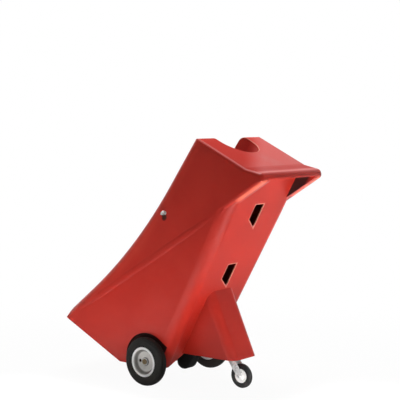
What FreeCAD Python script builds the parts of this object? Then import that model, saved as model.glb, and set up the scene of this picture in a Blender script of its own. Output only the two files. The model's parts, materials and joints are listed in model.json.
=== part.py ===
import FreeCAD, Part
import math
import os
import Sketcher

# Gas cylinder trolley, tilted back on two main wheels and a tail castor, in millimetres.
# World frame: +Z up, the front faces -Y, the operator stands at +Y, and the operator's left is +X.
# The moulded body is drawn upright in its own frame (x across, y behind the well axis, z above the base),
# then tilted back about the main axle.

doc = FreeCAD.newDocument("CylinderTrolley")
sheet = doc.addObject("Spreadsheet::Sheet", "Sizes")

SIZES = [
    ("tilt", 28.5, "angle in degrees by which the body leans back"),
    ("running_clearance", 0.05, "radial play of a bore that turns on a pin"),
    ("seat_clearance", 0.1, "radial play of a fixed round seat"),
    ("side_play", 0.3, "end play beside a turning piece"),
    ("wall", 6, "thickness of the moulded walls"),
    ("body_half_width", 265, "half width across the flanks"),
    ("toe_reach", 369, "toe in front of the well axis"),
    ("toe_height", 81, "height of the toe's upright front"),
    ("toe_setback", 8, "how far the toe's upper edge lies behind its lower edge"),
    ("knee_reach", 138, "knee of the front edge in front of the well axis"),
    ("knee_height", 600, "height of the knee"),
    ("knee_radius", 2700, "sweep that blends the front edge at the knee"),
    ("brow_reach", 60, "top of the front edge in front of the well axis"),
    ("brow_height", 1298, "height of the deck at the front edge"),
    ("deck_rise", 15, "rise of the deck from the front edge to the back panel"),
    ("brow_radius", 45, "rounding between the front and the deck"),
    ("heel_reach", 48, "heel of the base behind the well axis"),
    ("panel_reach", 294, "back panel behind the well axis"),
    ("panel_foot", 126, "height of the back panel's lower end"),
    ("ridge_height", 1135, "height at which the flank ridge meets the back panel"),
    ("flank_draw", 38, "how far the flank draws in at the foot of the back panel"),
    ("corner_radius", 66, "outer radius between flank and back panel"),
    ("rim_radius", 20, "rounding between the flanks and the deck, and around the wings"),
    ("front_radius", 40, "rounding between the flanks and the front"),
    ("well_radius", 127, "inner radius of the well"),
    ("bar_reach", 399, "lower rear edge of the handle bar behind the well axis"),
    ("bar_drop", 4, "handle bar's lower rear edge below the line of the deck"),
    ("bar_height", 26, "height of the handle bar's rear face"),
    ("bar_rake", 26, "how far the bar's rear face leans forward at its top"),
    ("bar_depth", 30, "thickness of the handle bar"),
    ("bar_softness", 2, "how much rounder the bar's edges are than the rim"),
    ("ramp_run", 119, "foot of the ramp in front of the bar's lower rear edge"),
    ("ramp_radius", 16, "hollow sweep between the deck and the ramp"),
    ("wing_drop", 187, "foot of the wings below the bar's lower rear edge"),
    ("wing_width", 70, "thickness of the wings at the handle bar's ends"),
    ("deck_lip", 8, "thickness of the deck over the hand recess"),
    ("slot_width", 72, "width of the back panel's slots"),
    ("slot_offset", 14, "middle of the slots beside the middle of the back panel"),
    ("slot_height", 142, "height of the back panel's slots on their longer side"),
    ("slot_slant", 56, "how much shorter a slot is on its other side"),
    ("slot_rounding", 10, "rounding of the slots' corners"),
    ("upper_slot_foot", 962, "height of the upper slot's lower end"),
    ("lower_slot_foot", 606, "height of the lower slot's lower end"),
    ("pocket_half_width", 170, "half width of the pocket at the foot of the back panel"),
    ("pocket_crown", 84, "half width of the pocket at its top"),
    ("pocket_rise", 72, "top of the pocket above the foot of the back panel"),
    ("pocket_depth", 58, "pocket in front of the back panel"),
    ("tail_half_width", 105, "half width of the tail"),
    ("tail_top", 592, "height at which the tail leaves the back panel"),
    ("tail_reach", 445, "rear lower edge of the tail behind the axle, level"),
    ("tail_floor_gap", 156, "tail's lower edge above the floor"),
    ("tail_rounding", 45, "rounding of the tail's rear edges"),
    ("skirt_depth", 8, "tail's lower edge below the castor shelf"),
    ("axle_setback", 80, "main axle in front of the back panel"),
    ("stand_clearance", 2, "main wheels above the floor when the body stands upright"),
    ("wheel_diameter", 250, "main wheel over the tyre"),
    ("tyre_width", 54, "main tyre across its sidewalls"),
    ("wheel_inset", 0.5, "middle of a main wheel inside the flank"),
    ("arch_gap", 5, "least room between tyre and wheel arch"),
    ("arch_lead", 11, "middle of the wheel arch in front of the axle"),
    ("arch_drop", 9, "middle of the wheel arch below the axle"),
    ("wheel_box_depth", 42, "inner wall of the wheel box inside the flank"),
    ("rim_lip_radius", 77, "outside of the rim's lip"),
    ("rim_seat_radius", 68, "seat of the tyre on the rim"),
    ("rim_half_width", 24, "rim lip from the wheel's middle"),
    ("rim_sheet", 2.5, "thickness of the pressed rim"),
    ("rim_disc_radius", 50, "edge of the flat part of the rim's disc"),
    ("valve_hole_radius", 9, "hole in the rim's disc"),
    ("valve_hole_pitch", 38, "valve hole from the axle"),
    ("hub_radius", 17, "outside of the wheel's hub tube"),
    ("hub_wall", 3, "wall of the hub tube"),
    ("hub_inner_end", 26, "inboard end of the hub from the wheel's middle"),
    ("hub_outer_end", 4, "outboard end of the hub from the wheel's middle"),
    ("bearing_length", 14, "length of a wheel bearing in the hub"),
    ("bearing_flange", 2, "thickness of a bearing's flange"),
    ("axle_radius", 10, "main axle"),
    ("axle_end", 6, "length of axle beyond the outer washer"),
    ("bush_radius", 14, "axle bush in the wheel box wall"),
    ("bush_flange_radius", 22, "flange of the axle bush"),
    ("bush_flange", 4, "thickness of the bush's flange"),
    ("bush_depth", 14, "length of the bush inboard of its flange"),
    ("washer_radius", 18, "axle washer"),
    ("washer_thickness", 2, "axle washer"),
    ("spacer_radius", 15, "spacer tube on the axle"),
    ("cap_radius", 14, "cap on the axle's end"),
    ("cap_length", 9, "length of the axle cap"),
    ("castor_diameter", 125, "castor wheel over the tyre"),
    ("castor_width", 26, "castor wheel's tread"),
    ("castor_trail", 52, "castor wheel behind its swivel"),
    ("swivel_reach", 364, "castor swivel behind the main axle"),
    ("castor_plate_length", 104, "castor plate along the trolley"),
    ("castor_plate_width", 84, "castor plate across the trolley"),
    ("castor_plate_thickness", 4, "castor plate"),
    ("castor_bolt_length_pitch", 80, "castor bolts along the trolley"),
    ("castor_bolt_width_pitch", 60, "castor bolts across the trolley"),
    ("castor_bolt_radius", 4, "shank of a castor bolt"),
    ("hex_radius", 7.5, "corner radius of an M8 hexagon"),
    ("head_height", 5.5, "height of an M8 head or nut"),
    ("thread_end", 2, "thread beyond a nut"),
    ("race_radius", 29, "castor's upper race"),
    ("race_height", 9, "castor's upper race"),
    ("kingpin_radius", 6, "castor kingpin"),
    ("kingpin_head_radius", 11, "riveted head of the kingpin"),
    ("kingpin_head", 5, "thickness of the kingpin's head"),
    ("fork_sheet", 3.5, "thickness of the castor fork"),
    ("fork_gap", 38, "inner width of the castor fork"),
    ("fork_crown_radius", 26, "fork crown around the swivel"),
    ("fork_foot_radius", 14, "fork leg around the wheel bolt"),
    ("castor_axle_radius", 5, "castor wheel bolt"),
    ("castor_bush_radius", 9, "bush in the castor wheel"),
    ("castor_hub_radius", 17, "hub of the castor wheel"),
    ("castor_rim_radius", 36, "rim of the castor wheel"),
    ("castor_web", 12, "thickness of the castor wheel's web"),
    ("castor_rim_sheet", 5, "depth of the castor wheel's rim"),
    ("eye_height", 868, "tie eyes above the base"),
    ("eye_inset", 67, "tie eyes behind the front edge"),
    ("eye_outer_radius", 13, "outside of a tie eye's ring"),
    ("eye_hole_radius", 7.5, "hole of a tie eye"),
    ("eye_thickness", 8, "thickness of a tie eye's ring"),
    ("eye_collar_radius", 10, "collar of a tie eye"),
    ("eye_collar", 4, "thickness of a tie eye's collar"),
    ("eye_root", 1, "how deep a tie eye's ring sits in its collar"),
    ("eye_shank_radius", 4, "shank of a tie eye"),
    ("eye_washer_radius", 11, "washer behind a tie eye"),
    ("eye_washer", 2, "thickness of the washer behind a tie eye"),
    ("skid_width", 118, "skid block across the trolley"),
    ("skid_length", 76, "skid block along the trolley"),
    ("skid_depth", 110, "height of the skid block"),
    ("skid_rounding", 36, "rounding of the skid block"),
    ("skid_overhang", 26, "skid block behind the back panel"),
    ("skid_screw_reach", 26, "skid screws behind the block's front"),
    ("skid_screw_radius", 3, "shank of a skid screw"),
    ("skid_screw_pitch", 60, "skid screws across the trolley"),
    ("skid_screw_length", 26, "skid screw in the block"),
    ("skid_screw_head_radius", 6, "head of a skid screw"),
    ("skid_screw_head", 4, "head of a skid screw"),
]

for row, (alias, number, note) in enumerate(SIZES, start=1):
    sheet.set(f"A{row}", note)
    sheet.set(f"B{row}", str(number))
    sheet.setAlias(f"B{row}", alias)
doc.recompute()


class Term:
    """A number that comes from the sheet, with the expression that gives it."""

    def __init__(self, number, text):
        self.number = number
        self.text = text

    def __add__(self, other):
        return Term(self.number + number_of(other), f"({self.text} + {text_of(other)})")

    def __sub__(self, other):
        return Term(self.number - number_of(other), f"({self.text} - {text_of(other)})")

    def __mul__(self, other):
        return Term(self.number * number_of(other), f"({self.text} * {text_of(other)})")

    def __truediv__(self, other):
        return Term(self.number / number_of(other), f"({self.text} / {text_of(other)})")

    def __neg__(self):
        return Term(-self.number, f"(0 - {self.text})")


def number_of(value):
    return value.number if isinstance(value, Term) else value


def text_of(value):
    return value.text if isinstance(value, Term) else str(value)


class Sizes:
    """Reads a named cell of the sheet as a Term."""

    def __getattr__(self, alias):
        return Term(float(sheet.get(alias)), f"Sizes.{alias}")


size = Sizes()


def cosine(angle):
    return Term(math.cos(math.radians(angle.number)), f"cos({angle.text})")


def sine(angle):
    return Term(math.sin(math.radians(angle.number)), f"sin({angle.text})")


def vector(x, y, z):
    return FreeCAD.Vector(number_of(x), number_of(y), number_of(z))


X_AXIS = FreeCAD.Vector(1, 0, 0)
Y_AXIS = FreeCAD.Vector(0, 1, 0)
Z_AXIS = FreeCAD.Vector(0, 0, 1)
TURN_TO_X = FreeCAD.Rotation(Y_AXIS, 90)
TURN_TO_Y = FreeCAD.Rotation(X_AXIS, -90)
UNTURNED = FreeCAD.Rotation()
HALF_TURN = FreeCAD.Rotation(Z_AXIS, 180)

# The stance: where the tilted body and its axle stand in the world.

tilt_cosine = cosine(size.tilt)
tilt_sine = sine(size.tilt)
wheel_radius = size.wheel_diameter / 2
axle_height = wheel_radius + size.stand_clearance
axle_reach = size.panel_reach - size.axle_setback
wheel_plane = size.body_half_width - size.wheel_inset
wheel_box_face = size.body_half_width - size.wheel_box_depth
deck_slope = size.deck_rise / (size.panel_reach + size.brow_reach)
bar_foot = size.brow_height + deck_slope * (size.bar_reach + size.brow_reach) - size.bar_drop
eye_share = (size.eye_height - size.knee_height) / (size.brow_height - size.knee_height)
eye_reach = size.knee_reach + (size.brow_reach - size.knee_reach) * eye_share - size.eye_inset


def level_reach(y, z):
    """Level distance of an upright point (y, z) of the body once it is tilted."""
    return y * tilt_cosine + z * tilt_sine


def level_height(y, z):
    """Height of an upright point (y, z) of the body once it is tilted, from the base point."""
    return z * tilt_cosine - y * tilt_sine


# The origin lies on the floor under the middle of the whole trolley, from the toe to the handle bar.
front_reach = level_reach(-size.toe_reach, Term(0.0, "0"))
rear_reach = level_reach(size.bar_reach, bar_foot)
body_shift = -(front_reach + rear_reach) / 2
axle_y = level_reach(axle_reach, axle_height) + body_shift
body_lift = wheel_radius - level_height(axle_reach, axle_height)
BODY_PLACEMENT = FreeCAD.Placement(
    vector(0, body_shift, body_lift), FreeCAD.Rotation(X_AXIS, -size.tilt.number)
)


def upright_point(level_y, level_z):
    """The upright body point, as (y, z), that stands at a world point once the body is tilted."""
    back = BODY_PLACEMENT.inverse().multVec(vector(0, level_y, level_z))
    return back.y, back.z


# Document helpers.

nodes = {}


def register(piece, label):
    piece.Label = label
    nodes[label] = piece
    return piece


def bind(piece, **terms):
    for name, term in terms.items():
        setattr(piece, name, number_of(term))
        if isinstance(term, Term):
            piece.setExpression(name, term.text)
    return piece


def place(piece, x, y, z, rotation=UNTURNED):
    piece.Placement = FreeCAD.Placement(vector(x, y, z), rotation)
    for name, term in (("x", x), ("y", y), ("z", z)):
        if isinstance(term, Term):
            piece.setExpression(f"Placement.Base.{name}", term.text)
    return piece


def cylinder(name, radius, height, x, y, z, rotation=UNTURNED):
    piece = bind(doc.addObject("Part::Cylinder", name), Radius=radius, Height=height)
    return place(piece, x, y, z, rotation)


def hexagon(name, height, x, y, z, rotation=UNTURNED):
    piece = doc.addObject("Part::Prism", name)
    piece.Polygon = 6
    bind(piece, Circumradius=size.hex_radius, Height=height)
    return place(piece, x, y, z, rotation)


def box(name, length, width, height, x, y, z):
    piece = bind(doc.addObject("Part::Box", name), Length=length, Width=width, Height=height)
    return place(piece, x, y, z)


def fuse(name, pieces):
    joined = doc.addObject("Part::MultiFuse", name)
    joined.Shapes = pieces
    return joined


def cut(name, base, tool):
    pierced = doc.addObject("Part::Cut", name)
    pierced.Base = base
    pierced.Tool = tool
    return pierced


def group(label, pieces):
    bundle = doc.addObject("Part::Compound", label)
    bundle.Links = pieces
    return register(bundle, label)


def outline_sketch(body, name, role, corners):
    """A closed outline of straight edges whose corners are held by the sheet."""
    sketch = body.newObject("Sketcher::SketchObject", name)
    plane = next(item for item in body.Origin.OriginFeatures if item.Role == role)
    sketch.AttachmentSupport = [(plane, "")]
    sketch.MapMode = "FlatFace"
    count = len(corners)
    points = [vector(across, along, 0) for across, along in corners]
    for index in range(count):
        sketch.addGeometry(Part.LineSegment(points[index], points[(index + 1) % count]))
    for index in range(count):
        following = (index + 1) % count
        sketch.addConstraint(Sketcher.Constraint("Coincident", index, 2, following, 1))
    for index, corner in enumerate(corners):
        for kind, term in zip(("DistanceX", "DistanceY"), corner):
            rule = Sketcher.Constraint(kind, -1, 1, index, 1, number_of(term))
            place_in_list = sketch.addConstraint(rule)
            if isinstance(term, Term):
                sketch.setExpression(f"Constraints[{place_in_list}]", term.text)
    return sketch


def turned(label, profile):
    """A piece turned about its own X axis from a profile of (along the axis, radius) corners."""
    body = doc.addObject("PartDesign::Body", label)
    sketch = outline_sketch(body, f"{label}_profile", "XY_Plane", profile)
    turn = body.newObject("PartDesign::Revolution", f"{label}_turn")
    turn.Profile = sketch
    turn.ReferenceAxis = (sketch, ["H_Axis"])
    turn.Angle = 360
    sketch.Visibility = False
    return body


def ring(start, end, inner, outer):
    """Profile of a plain ring from start to end along the axis."""
    return [(start, inner), (end, inner), (end, outer), (start, outer)]


# The moulded body.

W = size.body_half_width.number
WALL = size.wall.number
FAR_REACH = 2 * size.toe_reach.number
FAR_HEIGHT = 2 * size.brow_height.number


def blend(before, corner, after, radius):
    """The two tangent points and the middle of the arc that rounds a corner of an outline."""
    tip = FreeCAD.Vector(0, *corner)
    into = (FreeCAD.Vector(0, *before) - tip).normalize()
    out = (FreeCAD.Vector(0, *after) - tip).normalize()
    half_angle = into.getAngle(out) / 2
    reach = radius / math.tan(half_angle)
    middle = (into + out).normalize() * (radius / math.sin(half_angle) - radius)
    return tip + into * reach, tip + middle, tip + out * reach


def carried(corners, half):
    """A side outline of (y, z, rounding) corners carried across the body from -half to +half."""
    spots = []
    for index, (y, z, radius) in enumerate(corners):
        before = corners[index - 1][:2]
        after = corners[(index + 1) % len(corners)][:2]
        tip = FreeCAD.Vector(0, y, z)
        spots.append(blend(before, (y, z), after, radius) if radius > 0 else (tip, None, tip))
    edges = []
    for index, (begin, middle, leave) in enumerate(spots):
        if middle is not None:
            edges.append(Part.Arc(begin, middle, leave).toShape())
        following = spots[(index + 1) % len(spots)][0]
        edges.append(Part.LineSegment(leave, following).toShape())
    face = Part.Face(Part.Wire(edges))
    face.translate(FreeCAD.Vector(-half, 0, 0))
    return face.extrude(FreeCAD.Vector(2 * half, 0, 0))


def prism(points, half):
    return carried([(y, z, 0) for y, z in points], half)


def both_sides(shape):
    return [shape, shape.mirror(FreeCAD.Vector(), X_AXIS)]


def chosen_edges(shape, test):
    return [edge for edge in shape.Edges if test(edge.CenterOfMass, edge.tangentAt(edge.FirstParameter))]


def deck_height(y):
    return size.brow_height.number + deck_slope.number * (y + size.brow_reach.number)


def ridge_line(y):
    run = size.panel_reach.number + size.toe_reach.number
    return size.ridge_height.number * (y + size.toe_reach.number) / run


LEAN = size.flank_draw.number / (size.ridge_height.number - size.panel_foot.number)
UNDERSIDE = size.panel_foot.number / (size.panel_reach.number - size.heel_reach.number)


def front_corners(inset):
    """Top of the toe's front, the knee and the brow, with the front moved in."""
    rise = size.toe_height.number - inset
    setback = size.toe_setback.number * rise / size.toe_height.number
    toe_top = (inset - size.toe_reach.number + setback, size.toe_height.number)
    knee = (inset - size.knee_reach.number, size.knee_height.number)
    brow_y = inset - size.brow_reach.number
    return toe_top, knee, (brow_y, deck_height(brow_y) - inset)


def side_form(inset):
    """The side outline, run on past the back panel, with its walls moved in."""
    toe_top, knee, brow = front_corners(inset)
    offset = inset * math.hypot(1, UNDERSIDE)
    back_foot = UNDERSIDE * (FAR_REACH - size.heel_reach.number) + offset
    corners = [
        (inset - size.toe_reach.number, inset, 0),
        (size.heel_reach.number + (inset - offset) / UNDERSIDE, inset, 0),
        (FAR_REACH, back_foot, 0),
        (FAR_REACH, deck_height(FAR_REACH) - inset, 0),
        (*brow, size.brow_radius.number - inset),
        (*knee, size.knee_radius.number),
        (*toe_top, 0),
    ]
    return carried(corners, W - inset)


def deck_form(inset):
    """A large block under the deck whose edges between deck and flanks are rounded."""
    half = W - inset
    front = (-FAR_REACH, deck_height(-FAR_REACH) - inset)
    back = (FAR_REACH, deck_height(FAR_REACH) - inset)
    block = prism([front, (-FAR_REACH, -FAR_HEIGHT), (FAR_REACH, -FAR_HEIGHT), back], half)

    def on_rim(centre, along):
        return abs(centre.x) > half / 2 and centre.z > 0 and abs(along.y) > 0.9

    return block.makeFillet(size.rim_radius.number - inset, chosen_edges(block, on_rim))


def front_form(inset):
    """A large block behind the front whose edges between front and flanks are rounded."""
    half = W - inset
    toe_top, knee, brow = front_corners(inset)
    fall = FAR_HEIGHT / (knee[1] - toe_top[1])
    climb = FAR_HEIGHT / (brow[1] - knee[1])
    low = (knee[0] - fall * (knee[0] - toe_top[0]), knee[1] - FAR_HEIGHT)
    high = (knee[0] + climb * (brow[0] - knee[0]), knee[1] + FAR_HEIGHT)
    back = 2 * FAR_REACH
    bend = (*knee, size.knee_radius.number)
    block = carried([(*high, 0), bend, (*low, 0), (back, low[1], 0), (back, high[1], 0)], half)

    def on_front(centre, along):
        return abs(centre.x) > half / 2 and centre.y < FAR_REACH and abs(along.z) > 0.5

    return block.makeFillet(size.front_radius.number - inset, chosen_edges(block, on_front))


def corner_block(inset, lean):
    """A large block whose flanks lean in below the ridge, with the back panel's corners rounded."""
    half = W - inset
    panel_y = size.panel_reach.number - inset
    base = FreeCAD.Vector(-FAR_HEIGHT, -FAR_REACH, -FAR_HEIGHT / 2)
    block = Part.makeBox(2 * FAR_HEIGHT, FAR_REACH + panel_y, 2 * FAR_HEIGHT, base)
    front = FreeCAD.Vector(half, -2 * FAR_REACH, ridge_line(-2 * FAR_REACH))
    back = FreeCAD.Vector(half, 2 * FAR_REACH, ridge_line(2 * FAR_REACH))
    rise = FreeCAD.Vector(lean, 0, 1) * (2 * FAR_HEIGHT)
    flank = Part.makePolygon([front - rise, back - rise, back + rise, front + rise, front - rise])
    outside = Part.Face(flank).extrude(FreeCAD.Vector(2 * FAR_HEIGHT, 0, 0))
    for waste in both_sides(outside):
        block = block.cut(waste)

    def on_back_corner(centre, along):
        return abs(along.z) > 0.9 and abs(centre.y - panel_y) < WALL / 2

    return block.makeFillet(size.corner_radius.number - inset, chosen_edges(block, on_back_corner))


def moulded_form(inset):
    """The body without its hood as a full solid, with every wall moved in by inset."""
    form = side_form(inset).common(deck_form(inset)).common(front_form(inset))
    return form.common(corner_block(inset, 0)).common(corner_block(inset, LEAN))


# The hood: wings that flare out of the flanks and carry the handle bar, with a hand recess below the deck.

BAR_LOW = (size.bar_reach.number, bar_foot.number)
BAR_TOP = (BAR_LOW[0] - size.bar_rake.number, BAR_LOW[1] + size.bar_height.number)
RAMP_Y = BAR_LOW[0] - size.ramp_run.number
RAMP_FOOT = (RAMP_Y, deck_height(RAMP_Y))


def hood():
    root = size.panel_reach.number - size.corner_radius.number - 2 * WALL
    run = size.bar_reach.number - size.panel_reach.number
    foot = BAR_LOW[1] - size.wing_drop.number * (BAR_LOW[0] - root) / run
    rounding = size.rim_radius.number + size.bar_softness.number
    corners = [
        (root, foot, 0),
        (*BAR_LOW, rounding),
        (*BAR_TOP, rounding),
        (*RAMP_FOOT, size.ramp_radius.number),
        (root, deck_height(root), 0),
    ]
    solid = carried(corners, W)

    def on_outline(centre, along):
        return abs(centre.x) > W / 2 and centre.y > root + WALL / 2

    return solid.makeFillet(size.rim_radius.number, chosen_edges(solid, on_outline))


def roof_height(y):
    """Underside of the deck and of the ramp over the hand recess."""
    slope = (BAR_TOP[1] - RAMP_FOOT[1]) / (BAR_TOP[0] - RAMP_FOOT[0])
    ramp = RAMP_FOOT[1] + slope * (y - RAMP_FOOT[0])
    return max(deck_height(y), ramp) - size.deck_lip.number


def hand_recess():
    panel = size.panel_reach.number
    outside = BAR_LOW[0] + size.corner_radius.number
    low = BAR_LOW[1] - size.wing_drop.number - size.corner_radius.number
    inner_y = BAR_TOP[0] - size.bar_depth.number
    bends = sorted({panel, max(panel, RAMP_FOOT[0]), inner_y})
    points = [
        (panel, low),
        *((y, roof_height(y)) for y in bends),
        (BAR_LOW[0] - size.bar_depth.number, BAR_LOW[1]),
        (outside, BAR_LOW[1]),
        (outside, low),
    ]
    return prism(points, W - size.wing_width.number)


def outer_form():
    return moulded_form(0).fuse(hood()).cut(hand_recess())


def across(radius, start, end, lead=0, drop=0):
    """A round bar along X about the main axle, or in front of it and below it."""
    base = vector(start, axle_reach - lead, axle_height - drop)
    return Part.makeCylinder(radius, end - start, base, X_AXIS)


# Tail over the castor. Its lower edge and the castor shelf lie level once the body is tilted.

TAIL_Y = (axle_y + size.tail_reach).number
SHELF_FOOT = size.tail_floor_gap.number + size.skirt_depth.number


def tail_prism(inset, floor_gap, front):
    """The tail with its walls moved in, from an upright front plane, above a level floor gap."""
    crest = BODY_PLACEMENT.multVec(vector(0, size.panel_reach, size.tail_top))
    lean = (TAIL_Y - crest.y) / (crest.z - size.tail_floor_gap.number)

    def on_slope(height):
        outer = TAIL_Y - lean * (height - size.tail_floor_gap.number)
        return upright_point(outer - inset * math.hypot(1, lean), height)

    low = on_slope(floor_gap)
    high = on_slope(crest.z)
    share = (front - low[0]) / (high[0] - low[0])
    top = (front, low[1] + share * (high[1] - low[1]))
    foot_height = (floor_gap - body_lift.number + front * tilt_sine.number) / tilt_cosine.number
    solid = prism([(front, foot_height), low, top], size.tail_half_width.number - inset)

    def on_rear_edge(centre, along):
        beside = abs(centre.x) > size.tail_half_width.number / 2
        steep = abs(BODY_PLACEMENT.Rotation.multVec(along).z) > 0.7
        return beside and steep and centre.y > front + WALL

    return solid.makeFillet(size.tail_rounding.number - inset, chosen_edges(solid, on_rear_edge))


def tail_solid():
    return tail_prism(0, size.tail_floor_gap.number, size.panel_reach.number - WALL / 2)


def slot_tool(foot):
    """A hand slot with a slanting lower end, cut through the back panel."""
    half = size.slot_width.number / 2
    top = foot + size.slot_height.number
    start_y = size.panel_reach.number - size.corner_radius.number
    outline = [(half, foot + size.slot_slant.number), (half, top), (-half, top), (-half, foot)]
    corners = [FreeCAD.Vector(x + size.slot_offset.number, start_y, z) for x, z in outline]
    face = Part.Face(Part.makePolygon(corners + corners[:1]))
    block = face.extrude(FreeCAD.Vector(0, 2 * size.corner_radius.number, 0))

    def through(centre, along):
        return abs(along.y) > 0.9

    return block.makeFillet(size.slot_rounding.number, chosen_edges(block, through))


def pocket(margin):
    """The space for the skid block at the foot of the back panel, wider below, with its walls moved out."""
    half = size.pocket_half_width.number + margin
    crown = size.pocket_crown.number + margin
    shoulder = size.panel_foot.number
    top = shoulder + size.pocket_rise.number + margin
    front = size.panel_reach.number - size.pocket_depth.number - margin
    side = [(half, -shoulder), (half, shoulder), (crown, top)]
    outline = side + [(-x, z) for x, z in reversed(side)]
    corners = [FreeCAD.Vector(x, front, z) for x, z in outline]
    face = Part.Face(Part.makePolygon(corners + corners[:1]))
    return face.extrude(FreeCAD.Vector(0, 2 * size.panel_reach.number, 0))


def well_space(radius):
    """The space the load takes: a half-round channel, open to the front and upwards."""
    top = 2 * size.brow_height.number
    reach = 2 * size.toe_reach.number
    round_back = Part.makeCylinder(radius, top, FreeCAD.Vector(0, 0, WALL), Z_AXIS)
    front = Part.makeBox(2 * radius, reach, top, FreeCAD.Vector(-radius, -reach, WALL))
    return round_back.fuse(front)


ARCH_SHIFT = math.hypot(size.arch_lead.number, size.arch_drop.number)
ARCH_RADIUS = wheel_radius.number + ARCH_SHIFT + size.arch_gap.number
BOX_FACE = wheel_box_face.number


def arches(radius, start, end):
    return both_sides(across(radius, start, end, size.arch_lead, size.arch_drop))


def body_shell():
    outer = outer_form().fuse(tail_solid())
    # The walls of the wheel arches and of the pocket fill only what the body covers.
    cups = [outer.common(piece) for piece in arches(ARCH_RADIUS + WALL, BOX_FACE - WALL, W)]
    tail_hollow = tail_prism(WALL, SHELF_FOOT + WALL, size.panel_reach.number - 2 * WALL)
    tail_mouth = tail_prism(WALL, size.tail_floor_gap.number - WALL, size.panel_reach.number)
    shelf_cut = level_block(size.tail_floor_gap.number - 2 * WALL, SHELF_FOOT)
    shell = outer.cut([moulded_form(WALL), tail_hollow, tail_mouth.common(shelf_cut)])
    shell = shell.fuse(cups + [outer_form().common(pocket(WALL))])
    shell = shell.cut(arches(ARCH_RADIUS, BOX_FACE, 2 * W) + [pocket(0)])
    bush_hole = size.bush_radius.number + size.seat_clearance.number
    shell = shell.cut(both_sides(across(bush_hole, BOX_FACE - 2 * WALL, BOX_FACE + WALL)))
    slots = [slot_tool(size.upper_slot_foot.number), slot_tool(size.lower_slot_foot.number)]
    well = well_space(size.well_radius.number + WALL)
    return shell.cut(slots + [well, *fastener_holes()]).removeSplitter()


def level_block(low, high):
    """A block between two world heights, given in the body's own upright frame."""
    reach = 2 * size.brow_height.number
    block = Part.makeBox(2 * reach, 2 * reach, high - low, FreeCAD.Vector(-reach, -reach, low))
    block.Placement = BODY_PLACEMENT.inverse().multiply(block.Placement)
    return block


def castor_bolt_spots():
    half_length = size.castor_bolt_length_pitch / 2
    half_width = size.castor_bolt_width_pitch / 2
    for across_x in (-half_width, half_width):
        for along_y in (-half_length, half_length):
            yield across_x, along_y + axle_y + size.swivel_reach


def skid_seat():
    """The skid block's place under the top of the pocket, in the body's own upright frame."""
    front = size.panel_reach + size.skid_overhang - size.skid_length
    return FreeCAD.Placement(vector(0, front, size.panel_foot + size.pocket_rise), UNTURNED)


def fastener_holes():
    """Holes of the castor bolts in the shelf, of the tie eyes in the flanks and of the skid screws."""
    holes = []
    radius = size.castor_bolt_radius.number + size.seat_clearance.number
    for x, y in castor_bolt_spots():
        hole = Part.makeCylinder(radius, 4 * WALL, vector(x, y, SHELF_FOOT - WALL), Z_AXIS)
        hole.Placement = BODY_PLACEMENT.inverse().multiply(hole.Placement)
        holes.append(hole)
    eye_base = vector(W - 2 * WALL, -eye_reach, size.eye_height)
    eye_hole = size.eye_shank_radius.number + size.seat_clearance.number
    holes += both_sides(Part.makeCylinder(eye_hole, 4 * WALL, eye_base, X_AXIS))
    screw_hole = size.skid_screw_radius.number + size.seat_clearance.number
    for x in (-size.skid_screw_pitch / 2, size.skid_screw_pitch / 2):
        hole = Part.makeCylinder(screw_hole, 3 * WALL, vector(x, size.skid_screw_reach, -WALL), Z_AXIS)
        hole.Placement = skid_seat().multiply(hole.Placement)
        holes.append(hole)
    return holes


def cradle():
    """The half-round trough that lines the well, flush with the deck and the front."""
    lining = well_space(size.well_radius.number + WALL).cut(well_space(size.well_radius.number))
    return outer_form().common(lining).removeSplitter()


def moulded(label, shape):
    piece = doc.addObject("Part::Feature", label)
    piece.Shape = shape
    piece.Placement = BODY_PLACEMENT
    return register(piece, label)


moulded("body_shell", body_shell())
moulded("cradle", cradle())


def on_body(piece, x, y, z, rotation=UNTURNED):
    """Sets a piece at a point of the upright body and tilts it with the body."""
    piece.Placement = BODY_PLACEMENT.multiply(FreeCAD.Placement(vector(x, y, z), rotation))
    return piece


# Tie eyes near the front edge of each flank, with a washer and a nut inside the wall.


def tie_eye(side, turn, sign):
    reach = size.eye_collar + size.eye_outer_radius - size.eye_root
    shank_end = size.wall + size.eye_washer + size.head_height + size.thread_end
    shank = turned(
        f"{side}_eye_shank",
        [
            (-shank_end, 0),
            (reach - size.eye_hole_radius - size.eye_root, 0),
            (size.eye_collar, size.eye_shank_radius),
            (size.eye_collar, size.eye_collar_radius),
            (0, size.eye_collar_radius),
            (0, size.eye_shank_radius),
            (-shank_end, size.eye_shank_radius),
        ],
    )
    thickness = size.eye_thickness
    start = -thickness / 2
    disc = cylinder(f"{side}_eye_disc", size.eye_outer_radius, thickness, reach, start, 0, TURN_TO_Y)
    hole = cylinder(f"{side}_eye_hole", size.eye_hole_radius, thickness, reach, start, 0, TURN_TO_Y)
    ring_piece = cut(f"{side}_eye_ring", disc, hole)
    eye = register(fuse(f"{side}_tie_eye", [shank, ring_piece]), f"{side}_tie_eye")
    bore_radius = size.eye_shank_radius + size.seat_clearance
    washer_end = -size.wall
    washer_profile = ring(washer_end - size.eye_washer, washer_end, bore_radius, size.eye_washer_radius)
    washer = register(turned(f"{side}_tie_washer", washer_profile), f"{side}_tie_washer")
    nut_end = washer_end - size.eye_washer - size.head_height
    blank = hexagon(f"{side}_tie_nut_blank", size.head_height, nut_end, 0, 0, TURN_TO_X)
    bore = cylinder(f"{side}_tie_nut_bore", bore_radius, size.head_height, nut_end, 0, 0, TURN_TO_X)
    nut = register(cut(f"{side}_tie_nut", blank, bore), f"{side}_tie_nut")
    for piece in (eye, washer, nut):
        on_body(piece, sign * W, -eye_reach, size.eye_height, turn)


SIDES = (("left", UNTURNED, 1), ("right", HALF_TURN, -1))
for side, turn, sign in SIDES:
    tie_eye(side, turn, sign)

# Skid block in the pocket at the foot of the back panel.


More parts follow.
